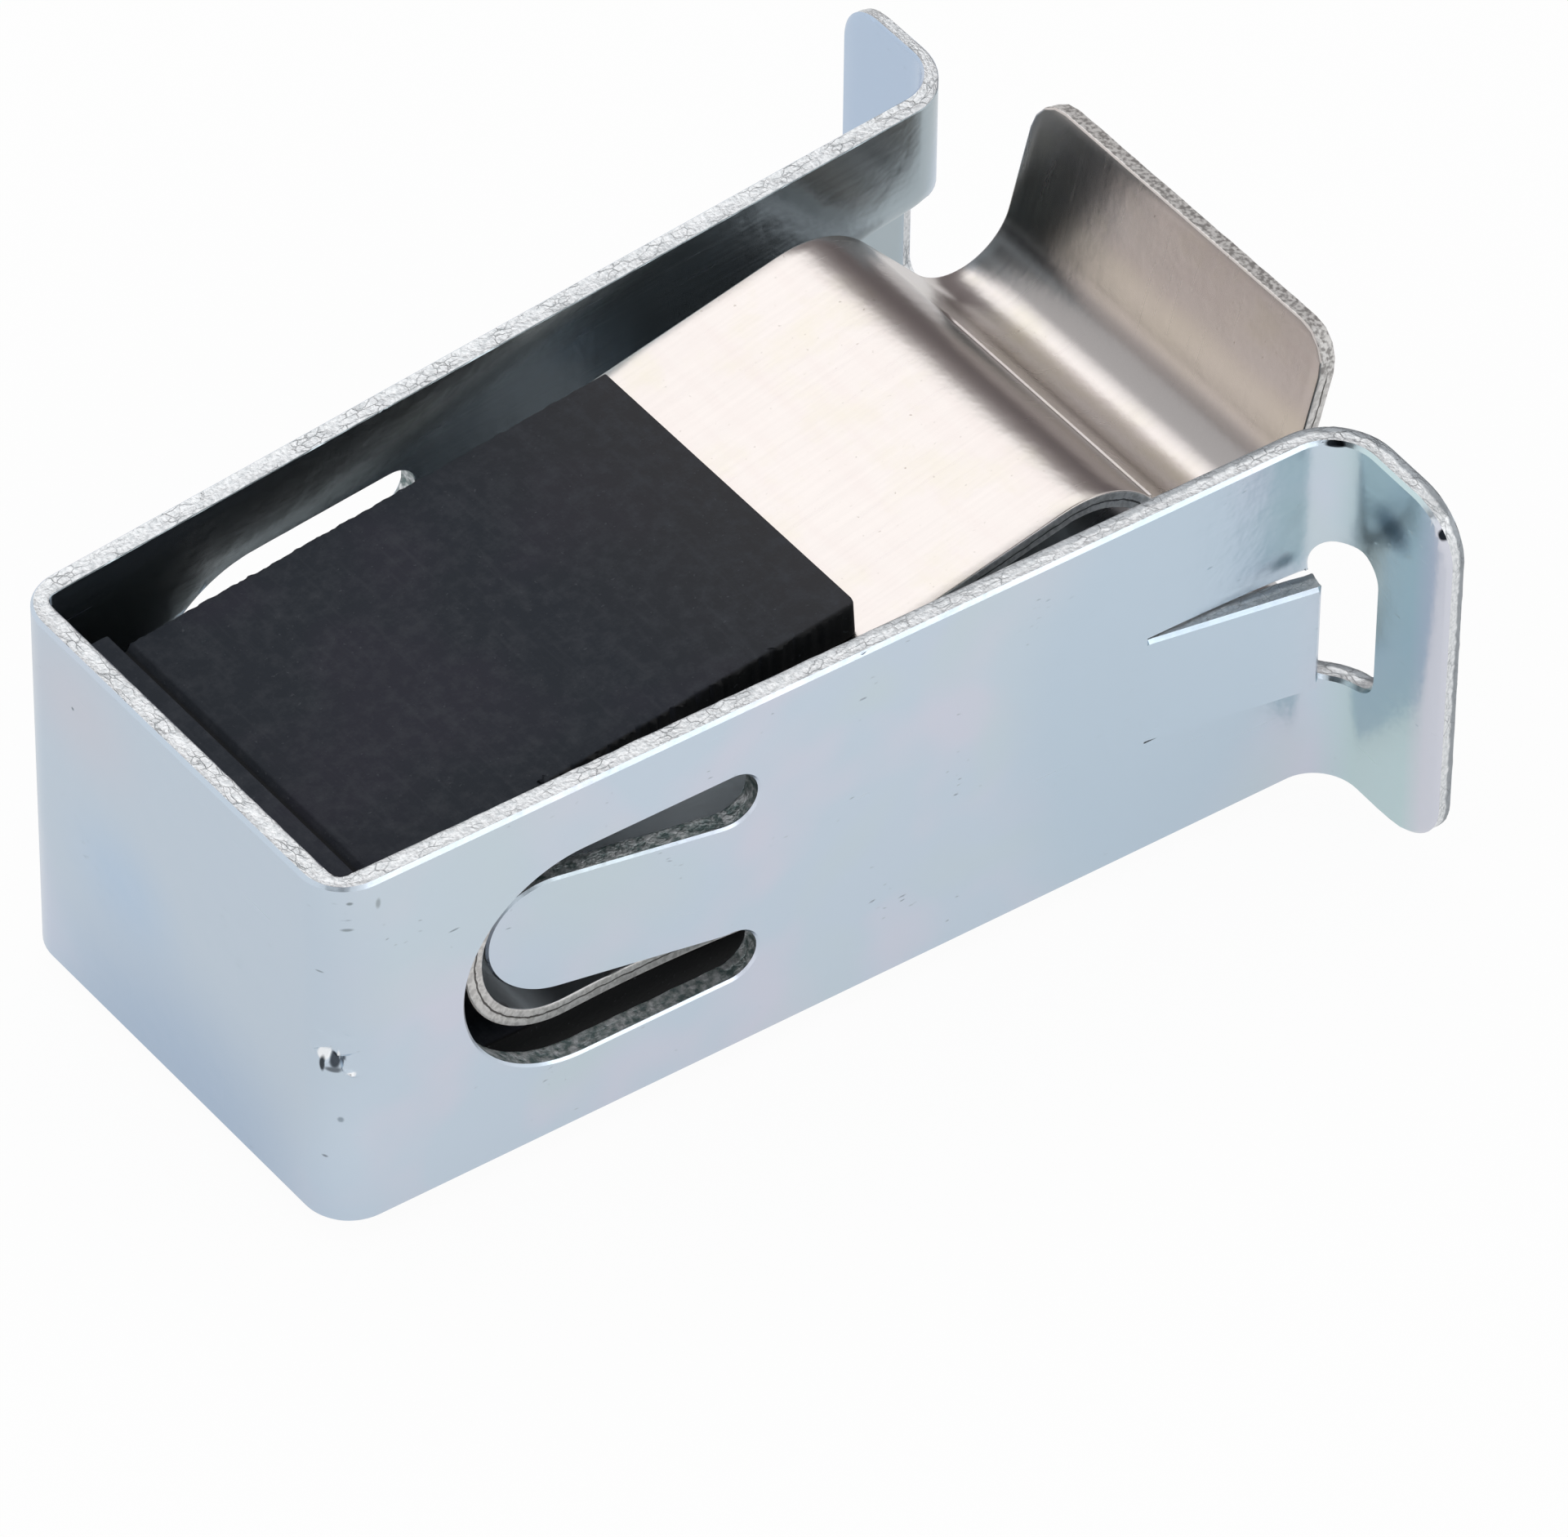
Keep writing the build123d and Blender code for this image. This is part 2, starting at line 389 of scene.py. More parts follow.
# Patches and marks: place and reach along and across the strip, sharpness and colour
for u, v, reach_u, reach_v, core, code in (
    # A bluer film by both flanges and on the closed end, and a patch that is darker and bluer
    # towards the closed end's bottom
    (-42.0, 0.0, 7.5, 14.0, 0.5, "C4D4E2"), (52.5, 0.0, 4.5, 14.0, 0.7, "B9CADF"),
    (0.0, 3.0, 11.5, 14.0, 0.7, "C2CFDC"), (5.5, 5.5, 5.0, 4.0, 0.0, "C8CDD8"),
    (3.0, -1.0, 4.5, 4.0, 0.0, "B8CBDF"), (0.0, -9.0, 12.0, 9.0, 0.2, "B0C2D7"),
    # A dull smudge on the near flange
    (-51.95, 5.5, 1.35, 1.15, 0.3, "8AA0AA"), (-51.9, 5.5, 0.75, 0.6, 0.2, "6F8793"),
    # Small grey marks on the closed end and its near corner
    (-9.35, 7.26, 0.16, 0.1, 0.3, "8F999F"), (-10.37, 6.93, 0.14, 0.32, 0.3, "A6B0B6"),
    (-9.25, 6.04, 0.30, 0.1, 0.3, "97A1A8"), (-13.36, 4.01, 0.28, 0.06, 0.3, "98A2AA"),
    (-8.27, 3.91, 0.22, 0.06, 0.3, "9AA5AD"), (-8.93, -2.96, 0.16, 0.18, 0.3, "97A3AE"),
    (-8.35, -4.86, 0.16, 0.08, 0.3, "8C96A0"), (5.65, 5.37, 0.10, 0.1, 0.3, "7F8A94"),
    # A grey line under the near tab's lower slit, painted shade above its upper slit where the leg
    # bulges out, and two nicks painted in as dark spots of shade
    (-44.90, -2.86, 1.70, 0.055, 0.3, "A2ADB6"), (-47.5, 2.9, 0.8, 0.4, 0.1, "93A5B2"),
    (-49.3, 7.86, 0.42, 0.16, 0.6, "23282E"), (-54.42, 7.12, 0.24, 0.30, 0.6, "23282E"),
    # Painted highlight and painted shade on the facets of the punch mark
    (-8.36, 0.02, 0.26, 0.36, 0.7, "F2F5F8"), (-8.30, -0.46, 0.13, 0.42, 0.5, "3B4248"),
    (-8.76, -0.18, 0.26, 0.52, 0.5, "474E56"), (-8.90, 0.05, 0.07, 0.38, 0.5, "E9EDF1"),
    (-8.70, -0.62, 0.42, 0.16, 0.4, "6E767E"), (-9.30, -0.72, 0.22, 0.12, 0.5, "F4F6F9"),
):
    placed = node(tree, "ShaderNodeMapping", {
        "Vector": flat, "Location": (-u / reach_u, -v / reach_v, 0.0),
        "Scale": (1 / (reach_u * MM), 1 / (reach_v * MM), 0.0)})
    away = node(tree, "ShaderNodeVectorMath", {0: placed}, operation="LENGTH")
    near = node(tree, "ShaderNodeMapRange", {
        "Value": away, "From Min": core, "From Max": 1.0,
        "To Min": 1.0, "To Max": 0.0}, interpolation_type="SMOOTHSTEP")
    marks_and_painted_light = node(tree, "ShaderNodeMix", {
        FACTOR: near, A: marks_and_painted_light, B: srgb(code)}, data_type="RGBA")
long_lines = node(tree, "ShaderNodeMapping", {
    "Vector": flat, "Scale": (1 / (7.0 * MM), 1 / (0.14 * MM), 1 / (0.4 * MM))})
rolled = node(tree, "ShaderNodeTexNoise", {
    "Vector": long_lines, "Scale": 1.0, "Detail": 3.0})
gloss = node(tree, "ShaderNodeMapRange", {
    "Value": rolled, "To Min": 0.20, "To Max": 0.30})
waves = node(tree, "ShaderNodeTexNoise", {
    "Vector": flat, "Scale": 1 / (1.6 * MM), "Detail": 3.0, "Roughness": 0.55})
uneven = node(tree, "ShaderNodeBump", {
    "Height": waves, "Strength": 1.0, "Distance": 0.035 * MM})
dented = node(tree, "ShaderNodeBump", {
    "Height": nick, "Strength": 0.6, "Distance": 0.02 * MM, "Normal": uneven}, invert=True)
shader = node(tree, "ShaderNodeBsdfPrincipled", {
    "Base Color": marks_and_painted_light, "Metallic": 1.0, "Roughness": gloss, "Normal": dented})
node(tree, "ShaderNodeOutputMaterial", {"Surface": shader})

# Sheared edge of the strip, plated with it: torn steel under thin zinc, so it glitters
# nearly white, with a net of fine grey tears, and greyer where the die burnished it.
edge, tree = new_material("sheared_zinc_edge")
flat = node(tree, "ShaderNodeAttribute", attribute_name="flat").outputs["Vector"]
wander = node(tree, "ShaderNodeTexNoise", {
    "Vector": flat, "Scale": 1 / (0.5 * MM), "Detail": 4.0})
shifted = node(tree, "ShaderNodeVectorMath", {
    0: wander.outputs["Color"], 1: (0.5 * MM, 0.5 * MM, 0.30 * MM), 2: flat},
    operation="MULTIPLY_ADD")
torn = node(tree, "ShaderNodeMapping", {
    "Vector": shifted, "Scale": (1 / (0.60 * MM), 1 / (0.50 * MM), 1 / (0.30 * MM))})
cells = node(tree, "ShaderNodeTexVoronoi", {
    "Vector": torn, "Scale": 1.0}, feature="DISTANCE_TO_EDGE")
crack = node(tree, "ShaderNodeMapRange", {
    "Value": cells, "From Min": 0.0, "From Max": 0.06, "To Min": 1.0, "To Max": 0.0})
spread_out = node(tree, "ShaderNodeTexNoise", {
    "Vector": flat, "Scale": 1 / (1.1 * MM), "Detail": 3.0})
where = node(tree, "ShaderNodeMapRange", {
    "Value": spread_out, "From Min": 0.42, "From Max": 0.62, "To Min": 0.05, "To Max": 0.6})
torn_lines = node(tree, "ShaderNodeMath", {0: crack, 1: where}, operation="MULTIPLY")
apart = node(tree, "ShaderNodeSeparateXYZ", {"Vector": shifted})
towards_flange = node(tree, "ShaderNodeMapRange", {
    "Value": apart.outputs["X"], "From Min": -20 * MM, "From Max": -50 * MM,
    "To Min": 0.1, "To Max": 1.0})
deep = node(tree, "ShaderNodeMapRange", {
    "Value": apart.outputs["Z"], "From Min": 0.66 * MM, "From Max": 0.76 * MM})
burnished = node(tree, "ShaderNodeMath", {
    0: deep, 1: towards_flange}, operation="MULTIPLY")
fine = node(tree, "ShaderNodeTexNoise", {
    "Vector": flat, "Scale": 1 / (0.14 * MM), "Detail": 3.0})
mottle = node(tree, "ShaderNodeMapRange", {
    "Value": fine, "From Min": 0.40, "From Max": 0.68})
ground_tone = node(tree, "ShaderNodeMix", {
    FACTOR: mottle, A: srgb("EAECEE"), B: srgb("CDD1D4")}, data_type="RGBA")
greyed = node(tree, "ShaderNodeMix", {
    FACTOR: burnished, A: ground_tone, B: srgb("9BA0A5")}, data_type="RGBA")
lined = node(tree, "ShaderNodeMix", {
    FACTOR: torn_lines, A: greyed, B: srgb("80868A")}, data_type="RGBA")

# The walls of the slots were torn in darker lumps
near_middle = node(tree, "ShaderNodeMath", {
    0: apart.outputs["Y"], 1: 0.0, 2: SLOTS_ACROSS * MM}, operation="COMPARE")
near_end = node(tree, "ShaderNodeMath", {
    0: apart.outputs["X"], 1: 0.0, 2: SLOTS_ALONG * MM}, operation="COMPARE")
in_slot_wall = node(tree, "ShaderNodeMath", {
    0: near_middle, 1: near_end}, operation="MULTIPLY")
lumps = node(tree, "ShaderNodeTexNoise", {
    "Vector": flat, "Scale": 1 / (0.32 * MM), "Detail": 3.0, "Roughness": 0.6})
lump = node(tree, "ShaderNodeMapRange", {
    "Value": lumps, "From Min": 0.36, "From Max": 0.62})
slot_lump = node(tree, "ShaderNodeMath", {0: lump, 1: in_slot_wall}, operation="MULTIPLY")
tone = node(tree, "ShaderNodeMix", {
    FACTOR: slot_lump, A: lined, B: srgb("748585")}, data_type="RGBA")
sunk = node(tree, "ShaderNodeMath", {0: torn_lines, 1: slot_lump}, operation="ADD")
height = node(tree, "ShaderNodeMath", {0: fine, 1: sunk}, operation="SUBTRACT")
rough = node(tree, "ShaderNodeBump", {
    "Height": height, "Strength": 0.7, "Distance": 0.04 * MM})
shader = node(tree, "ShaderNodeBsdfPrincipled", {
    "Base Color": tone, "Metallic": 0.85, "Roughness": 0.42, "Normal": rough})
node(tree, "ShaderNodeOutputMaterial", {"Surface": shader})

# Bright spring steel leaf, rolled and hardened: a warm grey mirror gone slightly soft, with faint
# streaks across the leaf where it was bent, a band of painted shade on the crest for its dark
# reflection, a darker band in the valley, a warm band along the lip, and a few dull specks. The
# inside of the hairpin is painted darker, as painted shade.
spring_steel, tree = new_material("bright_spring_steel")
flat = node(tree, "ShaderNodeAttribute", attribute_name="flat").outputs["Vector"]
across = node(tree, "ShaderNodeMapping", {
    "Vector": flat, "Scale": (1 / (0.9 * MM), 1 / (8.0 * MM), 1 / (1.0 * MM))})
streaks = node(tree, "ShaderNodeTexNoise", {
    "Vector": across, "Scale": 1.0, "Detail": 4.0})
streak = node(tree, "ShaderNodeMapRange", {
    "Value": streaks, "From Min": 0.45, "From Max": 0.80})
blush = node(tree, "ShaderNodeMix", {
    FACTOR: streak, A: srgb("CAC4C1"), B: srgb("C8C0BD")}, data_type="RGBA")
clouds = node(tree, "ShaderNodeTexNoise", {
    "Vector": flat, "Scale": 1 / (3.0 * MM), "Detail": 4.0, "Roughness": 0.6})
cloud = node(tree, "ShaderNodeMapRange", {
    "Value": clouds, "From Min": 0.50, "From Max": 0.72})
warm = node(tree, "ShaderNodeMix", {
    FACTOR: cloud, A: blush, B: srgb("C8C2B9")}, data_type="RGBA")
dots = node(tree, "ShaderNodeTexNoise", {
    "Vector": flat, "Scale": 1 / (0.20 * MM), "Detail": 2.0})
dot = node(tree, "ShaderNodeMapRange", {
    "Value": dots, "From Min": 0.70, "From Max": 0.78})
dull = node(tree, "ShaderNodeMix", {
    FACTOR: dot, A: warm, B: srgb("A79F98")}, data_type="RGBA")
depth = node(tree, "ShaderNodeSeparateXYZ", {"Vector": flat})
# Painted shade: the inside of the hairpin is mixed to a darker grey
inside = node(tree, "ShaderNodeMapRange", {
    "Value": depth.outputs["Z"], "From Min": 0.55 * MM, "From Max": 0.66 * MM})
inside_painted_shade = node(tree, "ShaderNodeMix", {
    FACTOR: inside, A: dull, B: srgb("A3A3A5")}, data_type="RGBA")

# Bands across the leaf, on the crest, in the valley and along the lip: distance along the
# leaf, half the width at full colour and with the soft edge, and colour
banded_with_painted_shade = inside_painted_shade
# The band on the crest is painted shade, for the crest's dark reflection
for u, core, reach, code in (
    (30.9, 0.9, 1.7, "AEA7A5"), (39.6, 0.6, 1.4, "A5A1A0"), (41.7, 0.4, 1.5, "CBC5BD"),
):
    to_band = node(tree, "ShaderNodeMath", {
        0: depth.outputs["X"], 1: u * MM}, operation="SUBTRACT")
    off_band = node(tree, "ShaderNodeMath", {0: to_band}, operation="ABSOLUTE")
    in_band = node(tree, "ShaderNodeMapRange", {
        "Value": off_band, "From Min": core * MM, "From Max": reach * MM,
        "To Min": 1.0, "To Max": 0.0}, interpolation_type="SMOOTHSTEP")
    banded_with_painted_shade = node(tree, "ShaderNodeMix", {
        FACTOR: in_band, A: banded_with_painted_shade, B: srgb(code)}, data_type="RGBA")
lines = node(tree, "ShaderNodeMapping", {
    "Vector": flat, "Scale": (1 / (5.0 * MM), 1 / (0.2 * MM), 1 / (1.0 * MM))})
rolled = node(tree, "ShaderNodeTexNoise", {"Vector": lines, "Scale": 1.0, "Detail": 3.0})
gloss = node(tree, "ShaderNodeMapRange", {
    "Value": rolled, "To Min": 0.22, "To Max": 0.30})
uneven = node(tree, "ShaderNodeBump", {
    "Height": clouds, "Strength": 1.0, "Distance": 0.03 * MM})
shader = node(tree, "ShaderNodeBsdfPrincipled", {
    "Base Color": banded_with_painted_shade, "Metallic": 1.0, "Roughness": gloss, "Normal": uneven})
node(tree, "ShaderNodeOutputMaterial", {"Surface": shader})

# Slit edge of the spring leaf: cut clean and bright, with a dark torn seam half way
# through along the sides, and fine speckles that are strongest at the cropped tips.
leaf_edge, tree = new_material("slit_leaf_edge")
flat = node(tree, "ShaderNodeAttribute", attribute_name="flat").outputs["Vector"]
apart = node(tree, "ShaderNodeSeparateXYZ", {"Vector": flat})
wander = node(tree, "ShaderNodeTexNoise", {
    "Vector": flat, "Scale": 1 / (0.5 * MM), "Detail": 3.0})
drift = node(tree, "ShaderNodeMath", {
    0: wander, 1: 0.16 * MM, 2: apart.outputs["Z"]}, operation="MULTIPLY_ADD")
tear = node(tree, "ShaderNodeMath", {
    0: drift, 1: 0.46 * MM, 2: 0.035 * MM}, operation="COMPARE")
outward = node(tree, "ShaderNodeMath", {0: apart.outputs["X"]}, operation="ABSOLUTE")
on_side = node(tree, "ShaderNodeMapRange", {
    "Value": outward, "From Min": LEAF_TIP_FROM * MM,
    "From Max": (LEAF_TIP_FROM + 0.4) * MM, "To Min": 1.0, "To Max": 0.0})
torn_side = node(tree, "ShaderNodeMath", {0: tear, 1: on_side}, operation="MULTIPLY")
fine = node(tree, "ShaderNodeTexNoise", {
    "Vector": flat, "Scale": 1 / (0.17 * MM), "Detail": 3.0})
speckle = node(tree, "ShaderNodeMapRange", {
    "Value": fine, "From Min": 0.42, "From Max": 0.60})
at_tip = node(tree, "ShaderNodeMapRange", {
    "Value": on_side, "To Min": 1.0, "To Max": 0.45})
speckled = node(tree, "ShaderNodeMath", {0: speckle, 1: at_tip}, operation="MULTIPLY")
bright = node(tree, "ShaderNodeMix", {
    FACTOR: speckled, A: srgb("D8D6D4"), B: srgb("918E8C")}, data_type="RGBA")
tone = node(tree, "ShaderNodeMix", {
    FACTOR: torn_side, A: bright, B: srgb("5C5957")}, data_type="RGBA")
rough = node(tree, "ShaderNodeBump", {
    "Height": fine, "Strength": 0.7, "Distance": 0.02 * MM})
bare = node(tree, "ShaderNodeMapRange", {
    "Value": on_side, "To Min": 0.45, "To Max": 0.85})
shader = node(tree, "ShaderNodeBsdfPrincipled", {
    "Base Color": tone, "Metallic": bare, "Roughness": 0.42, "Normal": rough})
node(tree, "ShaderNodeOutputMaterial", {"Surface": shader})

# Black neoprene, extruded as a channel and cut to width: matte charcoal with a bloom that
# turns it faintly violet or brown, faint streaks from the die, and fine pale specks.
rubber, tree = new_material("black_neoprene")
here = node(tree, "ShaderNodeTexCoord").outputs["Object"]
bloom = node(tree, "ShaderNodeTexNoise", {
    "Vector": here, "Scale": 1 / (6.0 * MM), "Detail": 3.0})
violet = node(tree, "ShaderNodeMapRange", {
    "Value": bloom, "From Min": 0.44, "From Max": 0.60})
base = node(tree, "ShaderNodeMix", {
    FACTOR: violet, A: srgb("20252D"), B: srgb("262731")}, data_type="RGBA")
apart = node(tree, "ShaderNodeSeparateXYZ", {"Vector": here})
towards_mouth = node(tree, "ShaderNodeMapRange", {
    "Value": apart.outputs["X"], "From Min": -26 * MM, "From Max": -18 * MM})
browned = node(tree, "ShaderNodeMix", {
    FACTOR: towards_mouth, A: base, B: srgb("2E2E31")}, data_type="RGBA")
drawn = node(tree, "ShaderNodeMapping", {
    "Vector": here, "Scale": (1 / (0.25 * MM), 1 / (3.0 * MM), 1 / (3.0 * MM))})
streaks = node(tree, "ShaderNodeTexNoise", {"Vector": drawn, "Scale": 1.0, "Detail": 3.0})
streak = node(tree, "ShaderNodeMapRange", {
    "Value": streaks, "From Min": 0.55, "From Max": 0.80, "To Min": 0.0, "To Max": 0.35})
streaked = node(tree, "ShaderNodeMix", {
    FACTOR: streak, A: browned, B: srgb("383B41")}, data_type="RGBA")
dust = node(tree, "ShaderNodeTexNoise", {
    "Vector": here, "Scale": 1 / (0.7 * MM), "Detail": 5.0, "Roughness": 0.7})
dusty = node(tree, "ShaderNodeMapRange", {
    "Value": dust, "From Min": 0.45, "From Max": 0.75, "To Min": 0.0, "To Max": 0.7})
dusted = node(tree, "ShaderNodeMix", {
    FACTOR: dusty, A: streaked, B: srgb("373A40")}, data_type="RGBA")

# Painted shade: the groove beside the web is darkened, and so is the near side that the blade
# left, where shade falls
to_groove = node(tree, "ShaderNodeMath", {
    0: apart.outputs["X"], 1: GROOVE_MIDDLE * MM}, operation="SUBTRACT")
off_groove = node(tree, "ShaderNodeMath", {0: to_groove}, operation="ABSOLUTE")
in_groove = node(tree, "ShaderNodeMapRange", {
    "Value": off_groove, "From Min": 0.12 * MM, "From Max": 0.26 * MM,
    "To Min": 0.85, "To Max": 0.0}, interpolation_type="SMOOTHSTEP")
on_side = node(tree, "ShaderNodeMapRange", {
    "Value": apart.outputs["Y"], "From Min": -7.40 * MM, "From Max": -7.52 * MM})
shaded = node(tree, "ShaderNodeMath", {0: in_groove, 1: on_side}, operation="MAXIMUM")
groove_and_side_painted_shade = node(tree, "ShaderNodeMix", {
    FACTOR: shaded, A: dusted, B: srgb("0E0F11")}, data_type="RGBA")
specks = node(tree, "ShaderNodeTexNoise", {
    "Vector": here, "Scale": 1 / (0.16 * MM), "Detail": 2.0})
speck = node(tree, "ShaderNodeMapRange", {
    "Value": specks, "From Min": 0.68, "From Max": 0.80, "To Min": 0.0, "To Max": 0.6})
tone = node(tree, "ShaderNodeMix", {
    FACTOR: speck, A: groove_and_side_painted_shade, B: srgb("4B4E53")}, data_type="RGBA")
skin = node(tree, "ShaderNodeBump", {
    "Height": specks, "Strength": 0.5, "Distance": 0.03 * MM})
shader = node(tree, "ShaderNodeBsdfPrincipled", {
    "Base Color": tone, "Roughness": 0.75, "Specular IOR Level": 0.25, "Normal": skin})
node(tree, "ShaderNodeOutputMaterial", {"Surface": shader})


# ---------------------------------------------------------------- housing

turn = pi / 2 - LEG_LEAN
end_tangent = END_BEND_RADIUS * tan(turn / 2)
flange_tangent = FLANGE_BEND_RADIUS * tan(turn / 2)
leg_length = BODY_DEPTH / cos(LEG_LEAN)
half_end = CLOSED_WIDTH / 2 - end_tangent
end_arc = END_BEND_RADIUS * turn
leg_run = leg_length - end_tangent - flange_tangent
flange_arc = FLANGE_BEND_RADIUS * turn
flange_run = FLANGE_REACH - flange_tangent
housing_line = follow((-BODY_DEPTH, 0.0), pi / 2, [
    (half_end, 0), (end_arc, -turn), (leg_run, 0), (flange_arc, turn), (flange_run, 0)])

# Distances along the strip: where the closed end's bend stops, the leg would start if
# its corner were sharp, the flange's bend starts and stops, and strip and window end
end_bend_stop = half_end + end_arc
leg_from = end_bend_stop - end_tangent
bend_from = end_bend_stop + leg_run
flange_from = bend_from + flange_arc
strip_half = flange_from + flange_run
window_end = strip_half - FLANGE_REACH + WINDOW_REACH

# Limits of the sheet that is bent in as a tongue. They run through the slot's opening
FLAP_FROM = 6.4
FLAP_HALF = 3.0

# On the real catch the near flange droops towards its tip, and the front of the far one
# stands back, in full from a fifth of the way to its tip
NEAR_FLANGE_DROOP = 0.28
FAR_FLANGE_SET_BACK = 0.33
# The tool that folded the closed end was sharper than the bend's outer radius
INNER_END_RADIUS = 0.45
# Lancing dragged the leg outwards along the upper slit, and to a little past its end
SLIT_BULGE = 0.24
SLIT_BULGE_HEIGHT = 0.9
BULGE_END = TAB_END + 1
# The far window runs square into the tab's upper slit
NOTCH_LENGTH = 1.1
NOTCH_FROM = 1.5
# The slits run a little into the window, past the end of the tab
SLIT_END = TAB_END + 0.2
# The die pressed a narrow flat on the outer edges, and left a small break on the inner
FLAT_WIDTH = 0.13
SLOT_FLAT_WIDTH = 0.09
INNER_BREAK = 0.06
# Die roll on the backs of the flanges: how far in from the outline, and how deep
ROLL_AT_TIP = 1.0
ROLL_DEPTH = 0.2
# Punch mark on the near corner of the closed end, and how far it reaches
MARK_ALONG = 8.63
MARK_UP = 0.06
MARK_REACH_ALONG = 1.2
MARK_REACH_UP = 1.4


def end_bend_share(along):
    """How much of the sheet is left at this place of the closed end's bend."""
    half = turn / 2
    angle = abs((along - half_end) / END_BEND_RADIUS - half)
    if angle >= half:
        return 1.0
    inner = END_BEND_RADIUS - SHEET
    out = (inner - INNER_END_RADIUS) / cos(half)
    if angle > half - atan2(out * sin(half), inner):
        reach = inner / cos(half - angle)
    else:
        reach = out * cos(angle) + (INNER_END_RADIUS ** 2 - (out * sin(angle)) ** 2) ** 0.5
    return (END_BEND_RADIUS - reach) / SHEET


def pyramid(across, along, half_width, half_length):
    """Height of a pyramid of height 1 whose base is a diamond."""
    return max(0.0, 1 - abs(across) / half_width - abs(along) / half_length)


def punch_mark(along, v):
    """Depth of the faint first blow over the mark, less the burrs beside the pit."""
    right, up = along - MARK_ALONG, v - MARK_UP
    depth = 0.05 * min(1.0, 4 * pyramid(right - 0.05, up - 1.05 + 0.25 * right, 0.95, 0.34))
    depth -= 0.16 * pyramid(right - 0.70, up + 0.80 + 0.5 * (right - 0.70), 0.38, 0.22)
    depth -= 0.10 * pyramid(right + 0.62, up - 0.12, 0.20, 0.42)
    return depth


def flange_roll(along, v):
    """Depth of the die roll on the back of a flange, by its tip."""
    corner_along = along - (strip_half - FLANGE_CORNER_RADIUS)
    corner_up = max(0.0, abs(v) - (STRIP_WIDTH / 2 - FLANGE_CORNER_RADIUS))
    if corner_along <= 0:
        return 0.0
    inwards = FLANGE_CORNER_RADIUS - hypot(corner_along, corner_up)
    tipwards = corner_along / hypot(corner_along, corner_up)
    return ROLL_DEPTH * tipwards * max(0.0, 1 - max(0.0, inwards) / ROLL_AT_TIP) ** 2


def in_leg(place, depth):
    """Folded x and y at a distance along the leg and a depth in its sheet."""
    x = -BODY_DEPTH + place * cos(LEG_LEAN) + depth * sin(LEG_LEAN)
    y = CLOSED_WIDTH / 2 + place * sin(LEG_LEAN) - depth * cos(LEG_LEAN)
    return x, y


def fold_housing(u, v, w):
    """Folded place of a point of the blank: on a tongue, on a tab, or on the strip."""
    side = 1 if u >= 0 else -1
    along = min(abs(u), strip_half)
    place = along - leg_from
    over_slit = v + TAB_DROP[side] - TAB_HEIGHT / 2
    if w < CLOSE and -LANCE_GAP - CLOSE < over_slit < CLOSE and TAB_ROOT < place < TAB_END + CLOSE:
        w += FLAT_WIDTH
    slot_place = place + SLOT_BACK[side]
    if abs(v - SLOT_RISE[side]) < FLAP_HALF and FLAP_FROM < slot_place < ARM_CENTER:
        radius = LANCE_RADIUS + SHEET
        reach = ARM_CENTER - slot_place
        bent = min(reach / radius, TONGUE_ANGLE)
        rest = reach - radius * bent
        x, y = in_leg(
            ARM_CENTER - SLOT_BACK[side] - (radius - w) * sin(bent) - rest * cos(bent),
            radius - (radius - w) * cos(bent) + rest * sin(bent),
        )
    elif (
        abs(v + TAB_DROP[side]) < TAB_HEIGHT / 2 - LANCE_GAP / 2
        and TAB_ROOT < place < TAB_END + 2 * CLOSE
    ):
        reach = place - TAB_ROOT
        bent = min(reach / LANCE_RADIUS, TAB_ANGLE)
        rest = reach - LANCE_RADIUS * bent
        x, y = in_leg(
            TAB_ROOT + (LANCE_RADIUS + w) * sin(bent) + rest * cos(bent),
            (LANCE_RADIUS + w) * cos(bent) - LANCE_RADIUS - rest * sin(bent),
        )
    else:
        if -CLOSE < over_slit < SLIT_BULGE_HEIGHT and TAB_ROOT < place < BULGE_END:
            opened = min(1.0, (place - TAB_ROOT) / (TAB_END - TAB_ROOT)) ** 2
            opened *= min(1.0, BULGE_END - place)
            w -= SLIT_BULGE * opened * (1 - max(0.0, over_slit) / SLIT_BULGE_HEIGHT) ** 2
        if half_end < along < end_bend_stop:
            w *= end_bend_share(along)
        by_mark = abs(along - MARK_ALONG) < MARK_REACH_ALONG and abs(v - MARK_UP) < MARK_REACH_UP
        if side < 0 and by_mark:
            w += punch_mark(along, v) * (1 - w / SHEET)
        if along > bend_from:
            w += flange_roll(along, v) * (1 - w / SHEET)
        x, y, turned = housing_line(along)
        x += w * sin(turned)
        y -= w * cos(turned)
        past = max(0.0, along - bend_from) / (strip_half - bend_from)
        if side < 0:
            v -= NEAR_FLANGE_DROOP * past
        else:
            x -= FAR_FLANGE_SET_BACK * min(1.0, 5 * past) * w / SHEET
    return x, side * y, v


